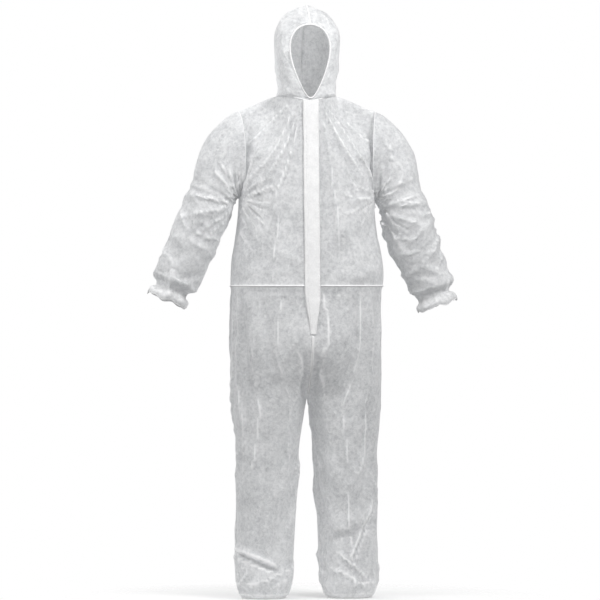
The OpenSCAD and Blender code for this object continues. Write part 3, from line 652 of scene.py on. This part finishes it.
def armpit_fan(g, way, seed, high=10):
    """Sharp creases that spread from the armpit over the sleeve and the bodice."""
    x, z = g[..., 0] * way - CHEST_W / 2, g[..., 2] + ARMPIT
    low = np.hypot(np.hypot(x, g[..., 1]), z)
    turn = np.arctan2(z, np.abs(x))
    raised, sunk = folds(turn * 3.6 + 1, low / 110, seed, 9), folds(turn * 4.4 + 9, low / 90, seed + 1, 9)
    return (raised - 1.1 * sunk) * high * np.exp(-((low - 66) / 66) ** 2)

def finish_panel(key, seed, ring=False, sewn=(1, 1, 1, 1), allowance=(1, 1, 1, 1), way=0):
    """The finer grid of one simulated panel, and its fold marks, which are painted highlight on crests and
    painted shade in hollows. Cloth is double along a seam.
    """
    g = finer(cloth[key], ring)
    hold = edge_hold(g.shape, *sewn, soft=5)
    light = crumple(g, seed) + (armpit_fan(g, way, seed) if way else 0)
    g = g + normals(g, ring) * (light * (1 - hold))[..., None]
    doubled = 0.4 * edge_hold(g.shape, *allowance, soft=3)
    return g, np.maximum(painted_fold_shading(g, ring), doubled)

def piece(name, g, painted_fold_light_and_layers, ring=False):
    made = cloth_mesh(name, g, ring)
    # the fold attribute holds painted light: a painted highlight on crests and a painted shade in hollows,
    # with lighter doubled cloth
    store = made.data.attributes.new("fold", "FLOAT", "POINT")
    store.data.foreach_set("value", painted_fold_light_and_layers.ravel().astype(np.float32))
    print(f"{name}: {len(made.data.polygons)} faces")
    return made

# %% Bodice pieces
panels = []
for name, seed, way in (("front_panel_left", 211, 1), ("front_panel_right", 223, -1),
                        ("back_panel", 227, 0)):
    g, painted_fold_light_and_layers = finish_panel(name, seed, way=way)
    made = piece(f"{name}_cloth", g, painted_fold_light_and_layers)
    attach(made, "torso")
    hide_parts(name)
    panels.append(made)

# %% [markdown]
# The trousers and sleeves cross two joints each. A blended piece may bend at one joint only, so
# each leg and each arm is divided where the cloth follows a single body, between the two bends.
# %% Leg pieces
def split_rows(g, painted_fold_light_and_layers, place):
    """The two parts of a grid, which share the row nearest to place."""
    return (g[:place + 1], painted_fold_light_and_layers[:place + 1]), (g[place:], painted_fold_light_and_layers[place:])

for side, way, seed in (("left", 1, 229), ("right", -1, 233)):
    g, painted_fold_light_and_layers = finish_panel(f"trousers_{side}", seed)
    below = half_z[:, 0] < -CROTCH - 25
    first = 2 * int(np.argmax(below))
    g[first:, -1] = g[first:, 0] = (g[first:, -1] + g[first:, 0]) / 2
    place = 2 * int(np.argmin(np.abs(half_z[:, 0] + 945)))
    upper, lower = split_rows(g, painted_fold_light_and_layers, place)
    top = piece(f"trouser_top_{side}", *upper)
    way * 0.3416
    way * 0.3879
    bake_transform(top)
    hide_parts(f"trouser_seat_{side}", f"leg_hip_{side}")
    shin = piece(f"trouser_leg_{side}", *lower)
    way * 0.12
    way * 0.12
    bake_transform(shin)
    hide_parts(f"leg_thigh_{side}", f"leg_knee_{side}", f"leg_shin_{side}",
                f"ankle_frill_{side}")
    panels += [top, shin]

# %% Sleeve pieces
for side, way, seed in (("left", 1, 239), ("right", -1, 241)):
    g, painted_fold_light_and_layers = finish_panel(f"sleeve_{side}", seed, True, (1, 0, 0, 0), (0, 1, 0, 0), way)
    out = OUT[side]
    along = Vector((way * math.sin(out), 0, -math.cos(out)))
    pit = Vector((way * CHEST_W / 2, 0, -ARMPIT)) * MM
    # the last rows are the frill, which is gathered, so its cloth lies thick and looks whiter
    painted_fold_light_and_layers = np.maximum(painted_fold_light_and_layers, 0.45 * smooth((np.arange(len(painted_fold_light_and_layers)) - FRILL_ROW) / 6)[:, None])
    upper, lower = split_rows(g, painted_fold_light_and_layers, 2 * DIVIDE_ROW)
    top = piece(f"sleeve_top_{side}", *upper, ring=True)
    reach = Vector((way * 0.9, 0, -0.43)).normalized()
    pit + reach * 0.044
    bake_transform(top)
    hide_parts(f"sleeve_shoulder_{side}")
    arm = piece(f"sleeve_arm_{side}", *lower, ring=True)
    pit + along * 0.062
    pit + along * 0.172
    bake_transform(arm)
    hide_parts(f"sleeve_upper_{side}", f"sleeve_elbow_{side}", f"sleeve_lower_{side}",
                f"cuff_frill_{side}")
    panels += [top, arm]

# %% Hood pieces
for side, seed in (("left", 251), ("right", 257)):
    g, painted_fold_light_and_layers = finish_panel(f"hood_{side}", seed)
    from_face = np.linspace(0, 1, g.shape[1])[::1 if side == "left" else -1]
    # the hood's painted fold light is halved, and a band along the face opening is made lighter
    painted_fold_light_and_layers = np.maximum(painted_fold_light_and_layers * 0.5, 0.22 * (1 - smooth((from_face - 0.14) / 0.06)))
    made = piece(f"hood_{side}_cloth", g, painted_fold_light_and_layers)
    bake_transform(made)
    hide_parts(f"hood_panel_{side}", "neck_fold")
    panels.append(made)

# %% [markdown]
# ## Seams
# The panels are joined with an overlocked seam: the two raw edges are bound together with thread,
# which leaves a narrow ridge with a slanted stitch about every 3 mm. Each seam follows the edge
# of a finished panel, so it can't drift away from the cloth.
# %% A ridge along a path
def resample(points, step):
    points = np.asarray(points, float)
    run = np.concatenate([[0], np.cumsum(np.linalg.norm(np.diff(points, axis=0), axis=1))])
    at = np.linspace(0, run[-1], max(int(run[-1] / step), 2))
    return np.stack([np.interp(at, run, points[:, n]) for n in range(3)], -1), at

def ridge(name, points, centre, width=2.6, height=1.0, step=1.5, pitch=3.0, lift=0.35, sides=8):
    """A stitched ridge on a path, standing away from centre, which is a point or a rule for points."""
    p, at = resample(points, step)
    t = np.gradient(p, axis=0)
    t /= np.maximum(np.linalg.norm(t, axis=1, keepdims=True), 1e-9)
    out = p - (centre(p) if callable(centre) else np.asarray(centre, float))
    out -= (out * t).sum(1, keepdims=True) * t
    out /= np.maximum(np.linalg.norm(out, axis=1, keepdims=True), 1e-9)
    side = np.cross(t, out)
    turn = np.linspace(0, 2 * np.pi, sides, endpoint=False)
    stitch = 1 + 0.3 * np.sin(2 * np.pi * at[:, None] / pitch + 2 * turn)
    taper = np.minimum(smooth(at / 3 + 0.15), smooth((at[-1] - at) / 3 + 0.15))[:, None]
    up = (height * np.sin(turn) * stitch + lift * height) * taper
    wide = width / 2 * np.cos(turn) * (0.8 + 0.2 * stitch) * taper
    grid = p[:, None] + out[:, None] * up[..., None] + side[:, None] * wide[..., None]
    made = cloth_mesh(name, grid, True)
    print(f"{name}: {at[-1] / 1000:.2f} m long")
    return made

# %% Bodice, waist and crotch seams
front_l, front_r, rear = (cloth[n] for n in ("front_panel_left", "front_panel_right", "back_panel"))
upright = lambda p: p * (0, 0, 1)
seams = []

def sew(name, points, centre, replaced, **shape):
    made = ridge(name, points, centre, **shape)
    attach(made, "torso")
    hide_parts(replaced)
    seams.append(made)

sew("waist_ridge", np.concatenate([front_l[-1], rear[0][::-1], front_r[-1]]), upright, "waist_seam",
    width=4.4, height=1.5)
neckline = np.concatenate([row[np.abs(row[:, 0]) < NECK_W / 2 + 1]
                           for row in (front_l[0], rear[-1][::-1], front_r[0])])
sew("neck_ridge", neckline, upright, "neck_seam", width=3, height=1.2)
for side, way, panel, last in (("left", 1, front_l, -1), ("right", -1, front_r, 0)):
    ring = cloth[f"sleeve_{side}"][0]
    sew(f"armhole_ridge_{side}", np.concatenate([ring, ring[:1]]), ring.mean(0) - (60 * way, 0, 0),
        f"armhole_seam_{side}", width=1.8, height=0.4)
    shoulder = rear[-1][way * rear[-1][:, 0] > NECK_W / 2 - 1]
    sew(f"shoulder_ridge_{side}", shoulder, shoulder.mean(0) - (0, 0, 300), "shoulder_seams",
        width=2.4, height=0.8)
    sew(f"side_ridge_{side}", panel[panel[:, last, 2] < -ARMPIT + 1, last], upright, "side_seams",
        width=2.4, height=0.8)
down, up = cloth["trousers_left"][:, 0] * (0, 1, 1), cloth["trousers_left"][:, -1] * (0, 1, 1)
rise = np.concatenate([down[(down[:, 2] < -672) & (down[:, 2] > -CROTCH)], up[up[:, 2] > -CROTCH][::-1]])
sew("rise_ridge", rise, (0, 5, -700), "crotch_seam", width=7, height=2.2)

# %% [markdown]
# The hood has one seam over the head, and its face edge is a casing: cloth turned over a thin
# elastic cord and stitched, so it puckers all the way round.
# %% Hood seam and face casing
crown = np.concatenate([cloth["hood_left"][0], cloth["hood_left"][:, -1]]) * (0, 1, 1)
hood_ridge = ridge("hood_ridge", crown, (0, 15, 120), width=4.2, height=1.3)
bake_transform(hood_ridge)
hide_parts("hood_centre_seam")
seams.append(hood_ridge)

def face_casing():
    t = np.linspace(-np.pi, np.pi, 460, endpoint=False)
    rim = face_edge(np.abs(t), -1.6) * np.stack([np.sign(t) + (t == 0), 1 + 0 * t, 1 + 0 * t], -1)
    run = np.cumsum(np.linalg.norm(np.diff(rim, axis=0, prepend=rim[:1]), axis=1))
    out = rim - (0, -THROAT + 10, 130)
    out[:, 1] = 0
    out /= np.linalg.norm(out, axis=1, keepdims=True)
    turn = np.linspace(0, 2 * np.pi, 12, endpoint=False)
    pucker = 1 + 0.16 * np.sin(2 * np.pi * run[:, None] / 6.5 + noise(run / 30, 0 * run, 5)[:, None] * 5) \
        * (0.6 + 0.4 * np.sin(turn))
    r = 2.9 * pucker
    g = rim[:, None] + out[:, None] * (r * np.cos(turn))[..., None]
    g[..., 1] += 1.3 * r * np.sin(turn)
    return g

rim_grid = face_casing()
casing = cloth_mesh("face_casing", np.concatenate([rim_grid, rim_grid[:1]]), True)
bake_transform(casing)
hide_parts("face_hem", "face_elastic")

# %% [markdown]
# ## Hems
# The sleeve and trouser ends are turned under once and stitched. A thin roll on the free edge
# gives the cloth an end that the eye can see.
# %% Wrist and ankle hems
hems = []
for side in ("left", "right"):
    for part, body in (("sleeve", f"lower_sleeve_{side}"), ("trousers", f"shin_{side}")):
        rim = cloth[f"{part}_{side}"][-1]
        rim = rim if part == "trousers" else np.concatenate([rim, rim[:1]])
        roll = ridge(f"{part}_hem_{side}", rim, rim.mean(0), width=1.8, height=1.1, lift=0, sides=6)
        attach(roll, body)
        hems.append(roll)

# %% [markdown]
# ## The storm flap
# A strip of the same cloth covers the zip. Both long edges are folded under. The one on the
# wearer's right is sewn down beside the zip, and the other lies loose. Two rows of stitching run
# down it, and the cloth puckers between the stitches. It swings on its own body, so its shape is
# built in the front's own directions: across, down the line and outwards.
# %% Flap
ZIP, TAPE_TILT = 650, math.atan2(LEAN, WAIST)
ROWS_AT = (-13, 20)

def on_front(x, s, out):
    """A point s mm down the front line, x across it and out in front of it, in mm."""
    c, d = math.cos(TAPE_TILT), math.sin(TAPE_TILT)
    return np.stack([x, -THROAT - s * d - out * c, -s * c + out * d], -1)

def flap_grid():
    s = np.linspace(-2, ZIP + 24, 340)[:, None]
    # across the strip and out from the front: the sewn fold, the strip, then the loose fold
    profile = [(-18, 0.9), (-21, 1.0), (-22.6, 2.4), (-22.4, 4.4), (-21, 5.9), (-18, 6.6),
               (-15.6, 6.5), (-14.4, 7.3), (-13, 7.6), (-11.6, 7.3), (-10.4, 6.4), (-4, 6.3),
               (4, 6.2), (12, 6.3), (17.4, 6.4), (18.6, 7.2), (20, 7.5), (21.2, 7.2), (22.2, 6.4),
               (21.6, 5.7), (18, 5.5), (10, 5.5)]
    x, out = (np.array(v, float)[None, :] + 0 * s for v in zip(*profile))
    loose = smooth((x + 6) / 26)
    wave = 1.7 * noise(s / 74, 0 * x, 301) + 1.0 * noise(s / 31, 0 * x + 3, 302)
    ends = smooth((s + 2) / 16) * smooth((ZIP + 24 - s) / 16)
    near = np.max([np.exp(-((x - a) / 4.2) ** 2) for a in ROWS_AT], axis=0)
    pucker = 0.3 * np.sin(2 * np.pi * s / 9 + 4 * noise(s / 40, x / 30, 303)) * near
    sag = -0.9 * np.exp(-((x - 4) / 8) ** 2) * (1 + noise(s / 46, 0 * x + 9, 304))
    streaks = 1.6 * noise(s / 170, x / 4.5, 306) * ends
    out = out + (np.abs(wave) * loose * ends + pucker + (sag + streaks) * (out > 6))
    x = x + (0.8 * noise(s / 58, 0 * x + 5, 305) * ends)
    # below the waist the strip narrows towards the seam between the legs
    narrow = smooth((s - 540) / (ZIP + 24 - 540)) ** 1.3
    x = x * (1 - 0.62 * narrow) + 1.5 * narrow
    out = out * (1 - 0.35 * narrow)
    return on_front(x, s + 0 * x, out)

flap_g = flap_grid()
flap = cloth_mesh("storm_flap_cloth", flap_g)
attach(flap, "flap")
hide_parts("storm_flap")

# %% Stitches
def stitch_row(name, column, pitch=3.4, length=2.5, r=0.42):
    """A row of thread stitches that lie on one line of the flap's own grid."""
    p, at = resample(flap_g[:, column], pitch)
    t = np.gradient(p, axis=0)
    t /= np.linalg.norm(t, axis=1, keepdims=True)
    c, d = math.cos(TAPE_TILT), math.sin(TAPE_TILT)
    out, side = np.array((0, -c, d)), np.array((1.0, 0, 0))
    u, a = np.linspace(-1, 1, 6), np.linspace(0, 2 * np.pi, 6, endpoint=False)
    fat = r * np.sqrt(1 - (u * 0.96) ** 2)
    points, faces = [], []
    for q, axis in zip(p[2:-2], t[2:-2]):
        base = len(points)
        ring = q + axis * (u * length / 2)[:, None, None]
        ring = ring + (out * np.sin(a)[:, None] + side * np.cos(a)[:, None]) * fat[:, None, None]
        ring = ring + out * r * 0.5
        points += ring.reshape(-1, 3).tolist()
        faces += [(base + i * 6 + j, base + i * 6 + (j + 1) % 6, base + (i + 1) * 6 + (j + 1) % 6,
                   base + (i + 1) * 6 + j) for i in range(5) for j in range(6)]
    print(f"{name}: {len(p) - 4} stitches")
    return add_mesh(name, np.array(points), faces)

threads = []
SEWN_COLUMN, LOOSE_COLUMN = 8, 16
for name, column in (("flap_stitches_sewn", SEWN_COLUMN), ("flap_stitches_loose", LOOSE_COLUMN)):
    row = stitch_row(name, column)
    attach(row, "flap")
    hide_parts("flap_stitching")
    threads.append(row)

# %% [markdown]
# ## The label
# Inside the neck hangs a folded label. It is left blank.
# %% Label
u, v = np.meshgrid(np.linspace(-16, 16, 12), np.linspace(0, 46, 16))
label_g = np.stack([u, NAPE_Y - 6 + 1.5 * np.sin(v / 46 * np.pi) - 1.2 * (u / 16) ** 2, NAPE_Z - v], -1)
label = cloth_mesh("neck_label", label_g)
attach(label, "torso")
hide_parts("care_label")

# %% [markdown]
# ## The cloth's finish
# Spun-bond cloth is a felt of fine white threads, pressed together by hot dots. Seen close it is
# cloudy, because the threads lie thicker in some places; creases stay white where threads have
# been squeezed together; and light shines through where it is thin. The fold marks on the mesh
# are painted light: crests are painted whiter, a painted highlight, hollows are painted darker,
# a painted shade, and less light passes at both.
# %% Non-woven cloth
def cloth_finish(name, dark, middle, light, through):
    f = Finish(name)
    # fold carries painted light from the mesh: a painted highlight on crests and a painted shade in hollows
    fold = f.node("ShaderNodeAttribute", dict(attribute_name="fold"), out="Fac")
    felt, cloud, fibre = f.noise(105, 5, 0.75, 0.4), f.noise(17, 3, 0.6), f.noise(520, 3, 0.7, 1.2)
    drift = f.node("ShaderNodeTexNoise", None, {"Vector": f.place(), "Scale": 30.0}, out="Color")
    bent = f.node("ShaderNodeVectorMath", dict(operation="MULTIPLY_ADD"),
                  {0: drift, 1: (0.03, 0.03, 0.03), 2: f.place()})
    cell = f.node("ShaderNodeTexVoronoi", dict(feature="DISTANCE_TO_EDGE"), {"Vector": bent, "Scale": 26.0})
    crease = (1 - cell * 11).clamp() ** 2.0 * f.noise(9, 2)
    spot = f.node("ShaderNodeTexVoronoi", None, {"Vector": f.place(), "Scale": 520.0, "Randomness": 0.2})
    dots = (1 - spot * 2.4).clamp()
    # the fold term is painted highlight and painted shade; felt, cloud, crease and fibre are the cloth's
    # own random tone
    tone_and_painted_shade = fold * 0.52 + (felt - 0.5) * 2.2 + (cloud - 0.5) * 0.8 + crease * 0.07 \
        + (fibre - 0.5) * 0.2 + 0.6
    # the lowest, near-black stop darkens the deepest hollows as painted shade, and the darkest patches of
    # felt
    colour = f.shade(tone_and_painted_shade, (0.0, 0.22), (0.2, dark), (0.6, middle), (1.0, light))
    bump = f.node("ShaderNodeBump", None, {"Strength": 0.4, "Distance": 0.0006,
                  "Height": crease + felt * 0.8 + fibre * 0.4 - dots * 0.3})
    # less light is let through on crests and in hollows, so the painted shade in the hollows stays dark
    return f.surface({"Base Color": colour, "Roughness": 0.6 + 0.15 * cloud, "Normal": bump, "IOR": 1.45,
                      "Specular IOR Level": 0.3, "Sheen Weight": 1.0, "Sheen Roughness": 0.4},
                     (through - fold * fold * 0.3 + (0.5 - felt) * 0.3).clamp())

suit_cloth = cloth_finish("suit_cloth", (0.50, 0.505, 0.515), (0.765, 0.77, 0.775),
                          (0.97, 0.97, 0.975), 0.4)
for made in panels:
    made.data.materials.append(suit_cloth)

# %% [markdown]
# ## Trim finishes
# Where the cloth lies double or three times, in the flap, the casing and the hems, it is whiter
# and hardly lets light through. Thread has a twist, elastic has ribs, and the zip's tape is
# woven while its teeth, slider and tab are plain moulded plastic.
# %% Doubled cloth, thread, elastic, tape, plastic, label
def trim_finish(name, low, high, scale, rough, wave=None, sheen=0.1, depth=0.0004):
    f = Finish(name)
    grain, cloud = f.noise(scale, 4, 0.65), f.noise(60, 3)
    lines = grain
    if wave:
        lines = 0.5 * grain + 0.5 * f.node("ShaderNodeTexWave", dict(bands_direction=wave[0]),
                                           {"Vector": f.place(), "Scale": wave[1], "Distortion": 0.6})
    colour = f.shade(lines * 0.6 + cloud * 0.4, (0.25, low), (0.7, high))
    bump = f.node("ShaderNodeBump", None, {"Strength": 0.5, "Distance": depth, "Height": lines})
    return f.surface({"Base Color": colour, "Roughness": rough + 0.12 * cloud, "Normal": bump,
                      "Sheen Weight": sheen, "Specular IOR Level": 0.3})

doubled = trim_finish("doubled_cloth", (0.68, 0.68, 0.685), (0.90, 0.90, 0.90), 420.0, 0.55)
thread = trim_finish("thread", (0.84, 0.84, 0.85), (0.99, 0.99, 0.99), 900.0, 0.45, ("DIAGONAL", 900.0))
elastic = trim_finish("ribbed_elastic", (0.70, 0.70, 0.71), (0.92, 0.92, 0.92), 700.0, 0.6, ("Z", 500.0))
tape = trim_finish("zip_tape_weave", (0.74, 0.74, 0.75), (0.94, 0.94, 0.94), 800.0, 0.6,
                   ("DIAGONAL", 700.0))
plastic = trim_finish("moulded_plastic", (0.86, 0.86, 0.86), (0.95, 0.95, 0.95), 300.0, 0.28,
                      sheen=0.0, depth=0.00005)
label_cloth = trim_finish("label_satin", (0.84, 0.84, 0.82), (0.95, 0.95, 0.93), 600.0, 0.4,
                          ("X", 800.0), 0.3)
for finish, slot, made in ((doubled, "nonwoven_cloth", [flap, casing] + hems),
                           (thread, "seam_thread", seams + threads),
                           (label_cloth, "label", [label])):
    for one in made:
        one.data.materials.append(finish)
for name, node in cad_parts.items():
    if node.hide_render:
        continue
    finish = elastic if "elastic" in name else tape if "tape" in name else plastic
    for kept in node.material_slots:
        kept.material = finish
    print(name, "keeps its CAD shape, with", finish.name)

# %% [markdown]
# ## Floor
# A pale round floor catches a soft shadow and fades out before its edge, so that the suit seems
# to stand in a plain white room.
# %% Floor
turn = np.linspace(0, 2 * np.pi, 65)[:-1]
mesh = bpy.data.meshes.new("floor")
mesh.from_pydata([(1.8 * math.cos(a), 1.8 * math.sin(a), 0) for a in turn], [], [tuple(range(64))])
floor = bpy.data.objects.new("floor", mesh)
bpy.context.collection.objects.link(floor)
floor.location = (0, 0, -HEM * MM - 0.002)
f = Finish("pale_floor")
reach = f.node("ShaderNodeVectorMath", dict(operation="LENGTH"), {0: f.place()}, out="Value")
mesh.materials.append(f.surface({"Base Color": (0.8, 0.8, 0.8, 1), "Roughness": 0.7,
                                 "Alpha": (1.35 - reach * 1.9).clamp(),
                                 "Emission Color": (1, 1, 1, 1), "Emission Strength": 0.1}))
floor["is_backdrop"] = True

# %% [markdown]
# ## Finish
# The last step measures the finished model's box and prints it.
# %% Size and end
bpy.context.view_layer.update()
looks_box = [list(v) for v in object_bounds()]
print("visual box", [[round(x, 3) for x in v] for v in looks_box], f"{time.time() - started:.0f} s")
